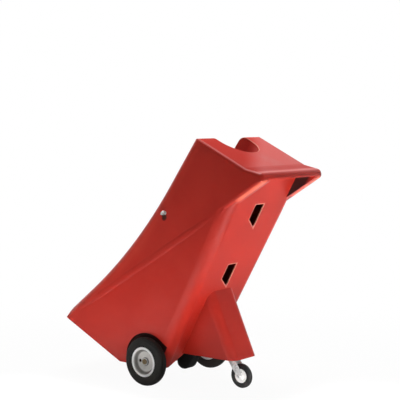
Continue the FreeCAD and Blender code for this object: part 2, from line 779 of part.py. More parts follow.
def skid_block():
    depth = size.skid_depth
    block = box("skid_blank", size.skid_width, size.skid_length, depth, -size.skid_width / 2, 0, -depth)
    doc.recompute()
    rounded = doc.addObject("Part::Fillet", "skid_rounded")
    rounded.Base = block
    radius = size.skid_rounding.number
    low = [
        index
        for index, edge in enumerate(block.Shape.Edges, start=1)
        if edge.CenterOfMass.z < -depth.number / 4
    ]
    rounded.Edges = [(index, radius, radius) for index in low]
    return rounded


skid = skid_block()
screws = []
skid_bores = []
for name, across_x in (("left", size.skid_screw_pitch / 2), ("right", -size.skid_screw_pitch / 2)):
    reach = size.skid_screw_reach
    length = size.skid_screw_length
    whole = length + size.wall
    shank = cylinder(f"{name}_skid_shank", size.skid_screw_radius, whole, across_x, reach, -length)
    head_radius = size.skid_screw_head_radius
    head = cylinder(f"{name}_skid_head", head_radius, size.skid_screw_head, across_x, reach, size.wall)
    screws.append(fuse(f"{name}_skid_screw", [shank, head]))
    bore_radius = size.skid_screw_radius + size.seat_clearance
    skid_bores.append(cylinder(f"{name}_skid_bore", bore_radius, length, across_x, reach, -length))
skid_node = cut("skid_block", skid, fuse("skid_bores", skid_bores))
register(skid_node, "skid_block").Placement = BODY_PLACEMENT.multiply(skid_seat())
group("skid_screws", screws).Placement = BODY_PLACEMENT.multiply(skid_seat())

# Main axle with its bushes, spacers, washers and end caps.

hub_outside = wheel_plane + size.hub_outer_end + size.bearing_flange + size.side_play
washer_outside = hub_outside + size.washer_thickness
axle_half = washer_outside + size.axle_end
axle = cylinder("main_axle", size.axle_radius, axle_half * 2, -axle_half, axle_y, wheel_radius, TURN_TO_X)
register(axle, "main_axle")
fixed_bore = size.axle_radius + size.seat_clearance
hub_inside = wheel_plane - size.hub_inner_end - size.bearing_flange - size.side_play
bush_outside = wheel_box_face + size.bush_flange
CAP_CROWN = 0.6
CAP_SHOULDER = 0.7
axle_sets = {
    "axle_bushes": [
        (wheel_box_face - size.bush_depth, fixed_bore),
        (bush_outside, fixed_bore),
        (bush_outside, size.bush_flange_radius),
        (wheel_box_face, size.bush_flange_radius),
        (wheel_box_face, size.bush_radius),
        (wheel_box_face - size.bush_depth, size.bush_radius),
    ],
    "axle_spacers": ring(bush_outside, hub_inside, fixed_bore, size.spacer_radius),
    "axle_washers": ring(hub_outside, washer_outside, fixed_bore, size.washer_radius),
    "axle_caps": [
        (washer_outside, fixed_bore),
        (axle_half + size.seat_clearance, fixed_bore),
        (axle_half + size.seat_clearance, 0),
        (washer_outside + size.cap_length, 0),
        (washer_outside + size.cap_length, size.cap_radius * CAP_CROWN),
        (washer_outside + size.cap_length * CAP_SHOULDER, size.cap_radius),
        (washer_outside, size.cap_radius),
    ],
}
for label, profile in axle_sets.items():
    pair = []
    for side, turn, sign in SIDES:
        pair.append(place(turned(f"{side}_{label}", profile), 0, axle_y, wheel_radius, turn))
    group(label, pair)

# Main wheels: pressed rim halves around a hub tube with two flanged bearings, and a cushion tyre.

# Tyre sides as shares of half the width and of the height from the rim's lip to the crown.
TYRE_SIDE = ((0.97, 0.18), (1, 0.4), (0.99, 0.6), (0.9, 0.8), (0.72, 0.93), (0.45, 0.99), (0.2, 1))
CASTOR_TYRE_SIDE = ((0.8, 0), (1, 0.25), (1, 0.55), (0.84, 0.85), (0.45, 1))
CASTOR_RIM_SHARE = 0.8
RIM_STEP = 2.5
RIM_BEND = 1.5


def tyre_profile():
    half = size.tyre_width / 2
    bead = size.rim_half_width - size.rim_sheet - size.side_play
    seat = size.rim_seat_radius + size.seat_clearance
    lip = size.rim_lip_radius
    side_points = [(bead, seat), (bead, lip), (size.rim_half_width, lip + size.side_play)]
    side_points += [(half * out, lip + (wheel_radius - lip) * up) for out, up in TYRE_SIDE]
    return side_points + [(-along, radius) for along, radius in reversed(side_points)]


def rim_profile():
    bore = size.hub_radius + size.seat_clearance
    lip_in = size.rim_half_width - size.rim_sheet
    seat = size.rim_seat_radius
    inner_seat = seat - size.rim_sheet
    return [
        (0, bore),
        (size.rim_sheet, bore),
        (size.rim_sheet, size.rim_disc_radius),
        (size.rim_sheet * RIM_STEP, size.rim_disc_radius + size.rim_sheet * RIM_STEP),
        (size.rim_half_width, inner_seat),
        (size.rim_half_width, size.rim_lip_radius),
        (lip_in, size.rim_lip_radius),
        (lip_in, seat),
        (0, seat),
        (0, inner_seat),
        (lip_in - size.rim_sheet * RIM_BEND, inner_seat),
        (size.rim_sheet, size.rim_disc_radius + size.rim_sheet * RIM_STEP),
        (0, size.rim_disc_radius),
    ]


def rim_half(name, turn):
    blank = turned(f"{name}_pressing", rim_profile())
    hole = cylinder(
        f"{name}_valve_hole",
        size.valve_hole_radius,
        size.rim_half_width * 2,
        -size.rim_half_width,
        -size.valve_hole_pitch if turn is UNTURNED else size.valve_hole_pitch,
        0,
        TURN_TO_X,
    )
    return cut(name, blank, hole)


def bearing_profile():
    bore = size.axle_radius + size.running_clearance
    seat = size.hub_radius - size.hub_wall - size.seat_clearance
    return [
        (0, bore),
        (size.bearing_length + size.bearing_flange, bore),
        (size.bearing_length + size.bearing_flange, size.hub_radius),
        (size.bearing_length, size.hub_radius),
        (size.bearing_length, seat),
        (0, seat),
    ]


def main_wheel(side, turn, sign):
    centre = wheel_plane * sign
    tyre = register(turned(f"{side}_tyre", tyre_profile()), f"{side}_tyre")
    outer_rim = register(rim_half(f"{side}_outer_rim", UNTURNED), f"{side}_outer_rim")
    inner_rim = register(rim_half(f"{side}_inner_rim", HALF_TURN), f"{side}_inner_rim")
    hub_profile = ring(
        -size.hub_inner_end, size.hub_outer_end, size.hub_radius - size.hub_wall, size.hub_radius
    )
    hub = register(turned(f"{side}_hub", hub_profile), f"{side}_hub")
    outer = turned(f"{side}_outer_bearing", bearing_profile())
    place(outer, size.hub_outer_end - size.bearing_length, 0, 0)
    inner = turned(f"{side}_inner_bearing", bearing_profile())
    place(inner, size.bearing_length - size.hub_inner_end, 0, 0, HALF_TURN)
    bearings = group(f"{side}_bearings", [outer, inner])
    for piece in (tyre, outer_rim, hub, bearings):
        place(piece, centre, axle_y, wheel_radius, turn)
    place(inner_rim, centre, axle_y, wheel_radius, turn.multiply(HALF_TURN))


for side, turn, sign in SIDES:
    main_wheel(side, turn, sign)

# Castor: bolted plate with its upper race and kingpin, swivelling fork, wheel.

swivel_y = axle_y + size.swivel_reach
plate_top = size.tail_floor_gap + size.skirt_depth
plate_foot = plate_top - size.castor_plate_thickness
race_foot = plate_foot - size.race_height
crown_top = race_foot - size.side_play
crown_foot = crown_top - size.fork_sheet
castor_y = swivel_y + size.castor_trail
castor_radius = size.castor_diameter / 2


def castor_plate():
    half_length = size.castor_plate_length / 2
    half_width = size.castor_plate_width / 2
    thickness = size.castor_plate_thickness
    blank = box(
        "castor_plate_blank",
        size.castor_plate_width,
        size.castor_plate_length,
        thickness,
        -half_width,
        swivel_y - half_length,
        plate_foot,
    )
    bore_radius = size.castor_bolt_radius + size.seat_clearance
    bores = []
    for index, (x, y) in enumerate(castor_bolt_spots()):
        name = f"castor_plate_hole_{index}"
        bores.append(cylinder(name, bore_radius, thickness, x, y, plate_foot))
    pin_bore = size.kingpin_radius + size.seat_clearance
    bores.append(cylinder("castor_plate_bore", pin_bore, thickness, 0, swivel_y, plate_foot))
    return register(cut("castor_plate", blank, fuse("castor_plate_holes", bores)), "castor_plate")


def castor_fasteners():
    bolts = []
    nuts = []
    head_foot = plate_foot - size.head_height
    shelf_top = plate_top + size.wall
    for index, (x, y) in enumerate(castor_bolt_spots()):
        length = size.castor_plate_thickness + size.wall + size.head_height + size.thread_end
        shank = cylinder(f"castor_bolt_shank_{index}", size.castor_bolt_radius, length, x, y, plate_foot)
        head = hexagon(f"castor_bolt_head_{index}", size.head_height, x, y, head_foot)
        bolts.append(fuse(f"castor_bolt_{index}", [shank, head]))
        bore_radius = size.castor_bolt_radius + size.seat_clearance
        blank = hexagon(f"castor_nut_blank_{index}", size.head_height, x, y, shelf_top)
        bore = cylinder(f"castor_nut_bore_{index}", bore_radius, size.head_height, x, y, shelf_top)
        nuts.append(cut(f"castor_nut_{index}", blank, bore))
    group("castor_bolts", bolts)
    group("castor_nuts", nuts)


def castor_swivel():
    pin_bore = size.kingpin_radius + size.seat_clearance
    race_blank = cylinder("castor_race_blank", size.race_radius, size.race_height, 0, swivel_y, race_foot)
    race_bore = cylinder("castor_race_bore", pin_bore, size.race_height, 0, swivel_y, race_foot)
    register(cut("castor_race", race_blank, race_bore), "castor_race")
    head_foot = crown_foot - size.side_play - size.kingpin_head
    pin = cylinder("kingpin_shank", size.kingpin_radius, plate_top - head_foot, 0, swivel_y, head_foot)
    head = cylinder("kingpin_head", size.kingpin_head_radius, size.kingpin_head, 0, swivel_y, head_foot)
    register(fuse("kingpin", [pin, head]), "kingpin")


# Lower end of a fork leg as shares of its foot's radius.
FORK_CHEEK = 0.3
FORK_TOE = 0.6


def fork_leg_outline():
    """One leg seen from the side, in (y, z) from the swivel at floor level."""
    crown = size.fork_crown_radius
    foot = size.fork_foot_radius
    trail = size.castor_trail
    return [
        (-crown, crown_top),
        (-crown, crown_foot - size.fork_sheet),
        (trail - foot, castor_radius - foot * FORK_CHEEK),
        (trail - foot * FORK_TOE, castor_radius - foot),
        (trail + foot * FORK_TOE, castor_radius - foot),
        (trail + foot, castor_radius - foot * FORK_CHEEK),
        (trail + foot, castor_radius + foot),
        (crown, crown_foot - size.fork_sheet),
        (crown, crown_top),
    ]


def castor_fork():
    body = doc.addObject("PartDesign::Body", "castor_fork_bend")
    legs = outline_sketch(body, "castor_fork_side", "YZ_Plane", fork_leg_outline())
    pad = body.newObject("PartDesign::Pad", "castor_fork_pad")
    pad.Profile = legs
    pad.Midplane = True
    bind(pad, Length=size.fork_gap + size.fork_sheet * 2)
    half_gap = size.fork_gap / 2
    doc.recompute()
    window = outline_sketch(
        body,
        "castor_fork_window",
        "XZ_Plane",
        [(-half_gap, 0), (half_gap, 0), (half_gap, crown_foot), (-half_gap, crown_foot)],
    )
    pocket = body.newObject("PartDesign::Pocket", "castor_fork_pocket")
    pocket.Profile = window
    pocket.Midplane = True
    bind(pocket, Length=size.castor_diameter * 4)
    doc.recompute()
    place(body, 0, swivel_y, 0)
    pin_bore = size.kingpin_radius + size.running_clearance
    bolt_bore = size.castor_axle_radius + size.seat_clearance
    width = size.fork_gap * 2
    bore_foot = crown_foot - size.fork_sheet
    bores = [
        cylinder("castor_fork_bore", pin_bore, size.fork_sheet * 4, 0, swivel_y, bore_foot),
        cylinder("castor_fork_eye", bolt_bore, width, -size.fork_gap, castor_y, castor_radius, TURN_TO_X),
    ]
    register(cut("castor_fork", body, fuse("castor_fork_bores", bores)), "castor_fork")


def castor_wheel():
    fork_half = size.fork_gap / 2 + size.fork_sheet
    length = fork_half * 2 + size.head_height + size.thread_end
    pin = size.castor_axle_radius
    spot = (castor_y, castor_radius, TURN_TO_X)
    shank = cylinder("castor_axle_shank", pin, length, -fork_half, *spot)
    head = hexagon("castor_axle_head", size.head_height, -fork_half - size.head_height, *spot)
    register(fuse("castor_axle_bolt", [shank, head]), "castor_axle_bolt")
    blank = hexagon("castor_axle_nut_blank", size.head_height, fork_half, *spot)
    nut_bore = pin + size.seat_clearance
    bore = cylinder("castor_axle_nut_bore", nut_bore, size.head_height, fork_half, *spot)
    register(cut("castor_axle_nut", blank, bore), "castor_axle_nut")
    half = size.castor_width / 2
    bush_half = size.fork_gap / 2 - size.side_play
    web = size.castor_web / 2
    rim = size.castor_rim_radius
    rim_in = rim - size.castor_rim_sheet
    core_bore = size.castor_bush_radius + size.seat_clearance
    core_half = [
        (bush_half - size.side_play, core_bore),
        (bush_half - size.side_play, size.castor_hub_radius),
        (web, size.castor_hub_radius + size.castor_rim_sheet),
        (web, rim_in - size.castor_rim_sheet),
        (half * CASTOR_RIM_SHARE, rim_in),
        (half * CASTOR_RIM_SHARE, rim),
    ]
    core_profile = core_half + [(-along, radius) for along, radius in reversed(core_half)]
    seat = rim + size.seat_clearance
    tyre_half = [(half * out, seat + (castor_radius - seat) * up) for out, up in CASTOR_TYRE_SIDE]
    tyre_outline = tyre_half + [(-along, radius) for along, radius in reversed(tyre_half)]
    bush_bore = size.castor_axle_radius + size.running_clearance
    bush_outline = ring(-bush_half, bush_half, bush_bore, size.castor_bush_radius)
    for label, profile in (
        ("castor_core", core_profile),
        ("castor_tyre", tyre_outline),
        ("castor_bush", bush_outline),
    ):
        register(place(turned(label, profile), 0, castor_y, castor_radius), label)


castor_plate()
castor_fasteners()
castor_swivel()
castor_fork()
castor_wheel()
doc.recompute()

# Check every object, then write one file for each sub-part.

for item in doc.Objects:
    if "Invalid" in item.State or "Error" in item.State:
        raise RuntimeError(f"{item.Label} failed: {item.State}")
for label, piece in nodes.items():
    if piece.Shape.isNull() or not piece.Shape.isValid():
        raise RuntimeError(f"{label} has no valid shape")
    if not piece.Shape.Solids:
        raise RuntimeError(f"{label} has no solid")

os.makedirs("parts", exist_ok=True)
for label, piece in nodes.items():
    piece.Shape.exportStep(f"parts/{label}.step")
    print(label, len(piece.Shape.Solids), round(piece.Shape.Volume))
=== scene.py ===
import bmesh
import bpy
import json
import math
from mathutils import Matrix, Vector


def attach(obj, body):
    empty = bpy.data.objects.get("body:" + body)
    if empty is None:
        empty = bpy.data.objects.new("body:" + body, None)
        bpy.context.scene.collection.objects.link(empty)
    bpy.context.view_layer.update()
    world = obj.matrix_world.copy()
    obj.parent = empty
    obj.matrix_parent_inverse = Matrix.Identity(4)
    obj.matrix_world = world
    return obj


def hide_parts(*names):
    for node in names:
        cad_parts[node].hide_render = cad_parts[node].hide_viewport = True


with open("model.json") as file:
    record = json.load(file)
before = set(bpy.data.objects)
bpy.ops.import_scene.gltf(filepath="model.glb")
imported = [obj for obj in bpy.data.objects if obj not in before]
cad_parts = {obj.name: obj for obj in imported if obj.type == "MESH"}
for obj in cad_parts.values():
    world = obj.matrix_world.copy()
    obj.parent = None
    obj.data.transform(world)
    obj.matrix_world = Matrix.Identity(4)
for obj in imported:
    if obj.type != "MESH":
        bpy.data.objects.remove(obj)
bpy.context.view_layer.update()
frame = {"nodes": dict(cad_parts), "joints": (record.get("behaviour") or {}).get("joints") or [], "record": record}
scene = bpy.context.scene
scene.view_settings.view_transform = "Standard"

# Sizes and places, in metres. The body is drawn upright as (across, behind the well axis, above the base) and
# tilted back.

joints = {joint["name"]: Vector(joint["pos_m"]) for joint in frame["joints"]}
axle = joints["left_wheel_spin"]
castor = joints["castor_wheel_spin"]
TILT = math.radians(28.5)
UPRIGHT_AXLE = Vector((0.0, 0.214, 0.127))
HALF_WIDTH = 0.265
WELL_RADIUS = 0.127
WALL = 0.006
lean = Matrix.Rotation(-TILT, 3, "X")
body_base = Vector((0.0, axle.y, axle.z)) - lean @ UPRIGHT_AXLE


def on_body(across, behind, above):
    return body_base + lean @ Vector((across, behind, above))


def upright(point):
    return lean.transposed() @ (point - body_base)


# Where marks lie. Middles are (behind, above), pairs of numbers after them are the start and end of a soft edge.

ARCH_MIDDLE = (0.203, 0.118)
ARCH_REACH = 0.1449
BOX_WALL = (0.2185, 0.2225)

ROOF_SLOPE = 0.29
ROOF = (1.2265, 1.2285)
RECESS_SIDE = (0.1953, 0.1957)
RECESS_BACK = (0.2945, 0.2985)
RECESS_MOUTH = (0.355, 0.38)
RECESS_FOOT = (1.08, 1.14)
RECESS_ENDS = (0.14, 0.195)
RECESS_MIDDLE_SHARE = 0.25

KNEE = (-0.138, 0.600)
UPPER_FRONT_SLOPE = 0.1117
LOWER_FRONT_SLOPE = 0.4297
FRONT_HIGHLIGHT_EDGE = (0.012, 0.075)

WING_SLANT = (0.4896, -0.8720)
WING_EDGE = (0.2966, 0.3036)
WING_FOOT = (1.125, 1.165)
WING_BACK = (0.297, 0.302)
WING_SIDE = (0.208, 0.226)

HOLLOW_FRONT = (0.262, 0.292)
HOLLOW_REAR = (0.325, 0.352)
HOLLOW_SIDE = (0.238, 0.262)

DECK_TOP = (1.290, 1.296)
DECK_SIDE = (0.245, 0.262)
SHADE_AND_MATT_SLANT = (0.78, -0.62)
SHADE_AND_MATT_EDGE = (0.03, 0.16)

SLOT_FEET = (0.962, 0.606)
SLOT_WIDTH = 0.072
SLOT_OFFSET = 0.014
SLOT_HEIGHT = 0.142
SLOT_SLOPE = 0.056 / SLOT_WIDTH
SLOT_RIM = (0.0045, 0.0065)
PANEL_FACE = (0.28, 0.285)

SPOT_MIDDLE = (-0.034, 0.846)
SPOT_SIZE = (0.015, 0.018)
SPOT_EDGE = (0.6, 1.3)
FLANK_FACE = (0.255, 0.262)

RIM_HOLLOW_INNER = (0.050, 0.055)
RIM_HOLLOW_OUTER = (0.060, 0.0655)
RIM_HUB = (0.018, 0.026)
RIM_LIP = (0.0640, 0.0665)

# Camera at the photograph's angle.

LENS = 102.24
SENSOR_WIDTH = 36.0
CAMERA_PLACE = (4.603, 3.793 + axle.y, 1.397)
CAMERA_LOOK = Vector((-0.7814, -0.6194, -0.0763))

camera_data = bpy.data.cameras.new("camera")
camera_data.lens = LENS
camera_data.sensor_width = SENSOR_WIDTH
camera = bpy.data.objects.new("camera", camera_data)
scene.collection.objects.link(camera)
camera.location = CAMERA_PLACE
camera.rotation_euler = CAMERA_LOOK.to_track_quat("-Z", "Y").to_euler()
scene.camera = camera

# Nodes.


def feed(tree, socket, value):
    """Links the output of another node to a socket, or sets a plain value there."""
    if hasattr(value, "is_output"):
        tree.links.new(value, socket)
    else:
        socket.default_value = value


def noise(tree, vector, scale, detail, roughness):
    node = tree.nodes.new("ShaderNodeTexNoise")
    for label, value in (("Vector", vector), ("Scale", scale), ("Detail", detail), ("Roughness", roughness)):
        feed(tree, node.inputs[label], value)
    return node.outputs["Fac"]


def ramp(tree, value, low, high, to_low=0.0, to_high=1.0):
    node = tree.nodes.new("ShaderNodeMapRange")
    node.interpolation_type = "SMOOTHSTEP"
    labels = ("Value", "From Min", "From Max", "To Min", "To Max")
    for label, number in zip(labels, (value, low, high, to_low, to_high)):
        feed(tree, node.inputs[label], number)
    return node.outputs["Result"]


def rising(tree, value, edge):
    return ramp(tree, value, *edge)


def falling(tree, value, edge):
    return ramp(tree, value, *edge, 1.0, 0.0)


def maths(tree, operation, first, second=0.0):
    node = tree.nodes.new("ShaderNodeMath")
    node.operation = operation
    feed(tree, node.inputs[0], first)
    feed(tree, node.inputs[1], second)
    return node.outputs["Value"]


def product(tree, *values):
    result = values[0]
    for value in values[1:]:
        result = maths(tree, "MULTIPLY", result, value)
    return result


def slanted(tree, first, second, shares):
    """A measure along a slanting line."""
    return maths(tree, "ADD", product(tree, first, shares[0]), product(tree, second, shares[1]))


def away_from(tree, behind, above, middle, size=(1.0, 1.0)):
    """The distance from a middle, as a share of a size."""
    squares = []
    for value, centre, length in zip((behind, above), middle, size):
        share = maths(tree, "DIVIDE", maths(tree, "SUBTRACT", value, centre), length)
        squares.append(product(tree, share, share))
    return maths(tree, "SQRT", maths(tree, "ADD", *squares))


def vector_maths(tree, operation, first, second=None):
    node = tree.nodes.new("ShaderNodeVectorMath")
    node.operation = operation
    feed(tree, node.inputs[0], first)
    if second:
        feed(tree, node.inputs[1], second)
    return node.outputs["Value"]


def stretched(tree, vector, scale):
    node = tree.nodes.new("ShaderNodeMapping")
    feed(tree, node.inputs["Vector"], vector)
    feed(tree, node.inputs["Scale"], scale)
    return node.outputs["Vector"]


def split(tree, vector):
    node = tree.nodes.new("ShaderNodeSeparateXYZ")
    feed(tree, node.inputs["Vector"], vector)
    return tuple(node.outputs)


def upright_parts(tree, vector):
    """The place of a point on the upright body: across, behind the well axis, above the base."""
    node = tree.nodes.new("ShaderNodeMapping")
    node.vector_type = "TEXTURE"
    feed(tree, node.inputs["Vector"], vector)
    feed(tree, node.inputs["Location"], body_base)
    feed(tree, node.inputs["Rotation"], (-TILT, 0.0, 0.0))
    return split(tree, node.outputs["Vector"])


def tinted(tree, factor, first, second):
    node = tree.nodes.new("ShaderNodeMix")
    node.data_type = "RGBA"
    feed(tree, node.inputs["Factor"], factor)
    for label, colour in (("A", first), ("B", second)):
        socket = next(item for item in node.inputs if item.name == label and item.type == "RGBA")
        feed(tree, socket, colour if hasattr(colour, "is_output") else (*colour, 1.0))
    return next(item for item in node.outputs if item.type == "RGBA")


# Shared effects. Each turns a place into masks or values.


def effect(make, **inputs):
    """A node group with the name of the function that fills it."""
    group = bpy.data.node_groups.new(make.__name__, "ShaderNodeTree")
    group.interface.new_socket("Vector", in_out="INPUT", socket_type="NodeSocketVector")
    for label, value in inputs.items():
        socket = group.interface.new_socket(label, in_out="INPUT", socket_type="NodeSocketFloat")
        socket.default_value = value
    results = make(group, group.nodes.new("NodeGroupInput").outputs)
    for label in results:
        group.interface.new_socket(label, in_out="OUTPUT", socket_type="NodeSocketFloat")
    end = group.nodes.new("NodeGroupOutput")
    for label, value in results.items():
        group.links.new(value, end.inputs[label])
    return group


def surface_grain(tree, given):
    """Fine grain, and broad patches of tone."""
    fine = noise(tree, given["Vector"], given["Scale"], 2.0, 0.5)
    patches = noise(tree, given["Vector"], given["Patch"], 4.0, 0.6)
    return {"Height": fine, "Tone": ramp(tree, patches, 0.35, 0.68)}


def scuff_marks(tree, given):
    """Upright scratches, gathered in places."""
    along = noise(tree, stretched(tree, given["Vector"], (1.0, 1.0, 0.09)), 260.0, 2.0, 0.5)
    where = noise(tree, given["Vector"], given["Scale"], 3.0, 0.6)
    zone = ramp(tree, where, given["Cover"], maths(tree, "ADD", given["Cover"], 0.12))
    return {"Mask": product(tree, ramp(tree, along, 0.6, 0.72), zone)}


def floor_dust(tree, given):
    """Clouds of dust that thin out upwards."""
    height = split(tree, given["Vector"])[2]
    low = ramp(tree, height, 0.0, given["Top"], 1.0, 0.0)
    cloud = ramp(tree, noise(tree, given["Vector"], 22.0, 5.0, 0.65), 0.38, 0.7)
    return {"Mask": product(tree, low, cloud)}


def wheel_box_shade(tree, given):
    """Painted shade inside the wheel boxes: within the arch and outside of its back wall."""
    across, behind, above = upright_parts(tree, given["Vector"])
    near = maths(tree, "LESS_THAN", away_from(tree, behind, above, ARCH_MIDDLE), ARCH_REACH)
    return {"Mask": product(tree, near, rising(tree, maths(tree, "ABSOLUTE", across), BOX_WALL))}


def recess_shade(tree, given):
    """Painted shade in the recess under the handle bar, deepest towards its ends."""
    across, behind, above = upright_parts(tree, given["Vector"])
    beside = maths(tree, "ABSOLUTE", across)
    inside = falling(tree, beside, RECESS_SIDE)
    out = product(tree, rising(tree, behind, RECESS_BACK), falling(tree, behind, RECESS_MOUTH))
    under = falling(tree, slanted(tree, above, behind, (1.0, -ROOF_SLOPE)), ROOF)
    high = rising(tree, above, RECESS_FOOT)
    ends = ramp(tree, beside, *RECESS_ENDS, RECESS_MIDDLE_SHARE, 1.0)
    return {"Mask": product(tree, inside, out, under, high, ends)}


def front_edge_highlight(tree, given):
    """Painted highlight: a lighter band along the front edge of the flanks."""
    _, behind, above = upright_parts(tree, given["Vector"])
    over_knee = maths(tree, "SUBTRACT", above, KNEE[1])
    upper = product(tree, over_knee, UPPER_FRONT_SLOPE)
    lower = product(tree, over_knee, LOWER_FRONT_SLOPE)
    edge = maths(tree, "ADD", maths(tree, "MINIMUM", upper, lower), KNEE[0])
    return {"Mask": falling(tree, maths(tree, "SUBTRACT", behind, edge), FRONT_HIGHLIGHT_EDGE)}


def painted_wing_sheen(tree, given):
    """Painted sheen: paler red along the rear edge of the wings."""
    across, behind, above = upright_parts(tree, given["Vector"])
    strip = falling(tree, slanted(tree, above, behind, WING_SLANT), WING_EDGE)
    high = rising(tree, above, WING_FOOT)
    side = rising(tree, maths(tree, "ABSOLUTE", across), WING_SIDE)
    return {"Mask": product(tree, strip, high, rising(tree, behind, WING_BACK), side)}


def bar_hollow_shade(tree, given):
    """Painted shade, on a rougher surface, in the hollow between the deck and the handle bar."""
    across, behind, above = upright_parts(tree, given["Vector"])
    along = product(tree, rising(tree, behind, HOLLOW_FRONT), falling(tree, behind, HOLLOW_REAR))
    over = rising(tree, slanted(tree, above, behind, (1.0, -ROOF_SLOPE)), ROOF)
    side = falling(tree, maths(tree, "ABSOLUTE", across), HOLLOW_SIDE)
    return {"Mask": product(tree, along, over, side)}


def deck_shade_and_matt(tree, given):
    """Painted shade, on a matt surface, over one side of the deck."""
    across, behind, above = upright_parts(tree, given["Vector"])
    side = falling(tree, maths(tree, "ABSOLUTE", across), DECK_SIDE)
    patch = falling(tree, slanted(tree, behind, across, SHADE_AND_MATT_SLANT), SHADE_AND_MATT_EDGE)
    return {"Mask": product(tree, rising(tree, above, DECK_TOP), side, patch)}


def slot_edge_highlight(tree, given):
    """Painted highlight around the back panel's slots, whose lower ends slant."""
    across, behind, above = upright_parts(tree, given["Vector"])
    from_middle = maths(tree, "SUBTRACT", across, SLOT_OFFSET)
    aside = maths(tree, "SUBTRACT", maths(tree, "ABSOLUTE", from_middle), SLOT_WIDTH / 2)
    foot_line = product(tree, maths(tree, "ADD", from_middle, SLOT_WIDTH / 2), SLOT_SLOPE)
    rims = []
    for foot in SLOT_FEET:
        over = maths(tree, "SUBTRACT", above, foot + SLOT_HEIGHT)
        below = maths(tree, "SUBTRACT", maths(tree, "ADD", foot_line, foot), above)
        under = product(tree, below, 1 / math.hypot(1, SLOT_SLOPE))
        away = maths(tree, "MAXIMUM", maths(tree, "MAXIMUM", aside, over), under)
        rims.append(falling(tree, away, SLOT_RIM))
    return {"Mask": product(tree, rising(tree, behind, PANEL_FACE), maths(tree, "MAXIMUM", *rims))}


def eye_dark_spot(tree, given):
    """A dark brown spot below each tie eye."""
    across, behind, above = upright_parts(tree, given["Vector"])
    spot = falling(tree, away_from(tree, behind, above, SPOT_MIDDLE, SPOT_SIZE), SPOT_EDGE)
    return {"Mask": product(tree, spot, rising(tree, maths(tree, "ABSOLUTE", across), FLANK_FACE))}


def rim_rings(tree, given):
    """Rings on a wheel's pressed rim: painted shade by the hub and behind the lip, and a painted highlight on the
    lip.
    """
    _, back, up = split(tree, given["Vector"])
    away = away_from(tree, back, up, (axle.y, axle.z))
    hollow = product(tree, rising(tree, away, RIM_HOLLOW_INNER), falling(tree, away, RIM_HOLLOW_OUTER))
    painted_shade = maths(tree, "MAXIMUM", hollow, falling(tree, away, RIM_HUB))
    return {"PaintedShade": painted_shade, "Lip": rising(tree, away, RIM_LIP)}


GRAIN = effect(surface_grain, Scale=700.0, Patch=6.0)
SCUFFS = effect(scuff_marks, Scale=14.0, Cover=0.62)
DUST = effect(floor_dust, Top=0.3)
BOX_SHADE = effect(wheel_box_shade)
RECESS_SHADE = effect(recess_shade)
FRONT_EDGE_HIGHLIGHT = effect(front_edge_highlight)
PAINTED_WING_SHEEN = effect(painted_wing_sheen)
BAR_HOLLOW_SHADE = effect(bar_hollow_shade)
DECK_SHADE_AND_MATT = effect(deck_shade_and_matt)
SLOT_EDGE_HIGHLIGHT = effect(slot_edge_highlight)
EYE_DARK_SPOT = effect(eye_dark_spot)
RIM_RINGS = effect(rim_rings)
RUBBED = "rubbed"

# Finishes.

BUMP_STRENGTH = 0.6
SCUFF_ROUGHNESS = 0.15
DUST_ROUGHNESS = 0.2


def place_effect(tree, group, vector, **values):
    node = tree.nodes.new("ShaderNodeGroup")
    node.node_tree = group
    feed(tree, node.inputs["Vector"], vector)
    for label, value in values.items():
        feed(tree, node.inputs[label], value)
    return node.outputs


def mark(source, amount, colour, rougher=0.0, output="Mask", **settings):
    """A colour laid over a finish where an effect, or an attribute of the piece given by name, says so."""
    return source, amount, colour, rougher, output, settings


def scuffs(amount, colour, scale, cover):
    return mark(SCUFFS, amount, colour, SCUFF_ROUGHNESS, Scale=scale, Cover=cover)


def dust(amount, colour, top):
    return mark(DUST, amount, colour, DUST_ROUGHNESS, Top=top)


def mask_of(tree, where, source, output, settings):
    if source == RUBBED:
        node = tree.nodes.new("ShaderNodeAttribute")
        node.attribute_name = source
        return node.outputs["Fac"]
    return place_effect(tree, source, where, **settings)[output]


def finish(name, tones, roughness, grain, depth, patch, marks=(), **sockets):
    """A finish with two tones and a grain, and marks over it. The sockets hold the constants of the shader."""
    material = bpy.data.materials.new(name)
    material.use_nodes = True
    tree = material.node_tree
    shader = tree.nodes["Principled BSDF"]
    where = tree.nodes.new("ShaderNodeTexCoord").outputs["Object"]
    grains = place_effect(tree, GRAIN, where, Scale=grain, Patch=patch)
    colour = tinted(tree, grains["Tone"], *tones)
    rough = ramp(tree, grains["Tone"], 0.0, 1.0, *roughness)
    for source, amount, mark_colour, rougher, output, settings in marks:
        mask = mask_of(tree, where, source, output, settings)
        colour = tinted(tree, product(tree, mask, amount), colour, mark_colour)
        if rougher:
            rough = maths(tree, "ADD", rough, product(tree, mask, rougher))
    bump = tree.nodes.new("ShaderNodeBump")
    feed(tree, bump.inputs["Strength"], BUMP_STRENGTH)
    feed(tree, bump.inputs["Distance"], depth)
    feed(tree, bump.inputs["Height"], grains["Height"])
    feed(tree, shader.inputs["Normal"], bump.outputs["Normal"])
    feed(tree, shader.inputs["Base Color"], colour)
    feed(tree, shader.inputs["Roughness"], rough)
    for label, value in sockets.items():
        feed(tree, shader.inputs[label.replace("_", " ")], value)
    return material


# Near black for the painted shade in the hand recess and the wheel boxes.
SHADE_BLACK = (0.012, 0.009, 0.008)
# Dark brown for the spot below each tie eye.
DARK_BROWN = (0.035, 0.010, 0.004)
PALE_RED = (0.82, 0.34, 0.25)
# Darker red for the painted shade in the hollow before the handle bar and on one side of the deck.
SHADE_RED = (0.33, 0.012, 0.008)

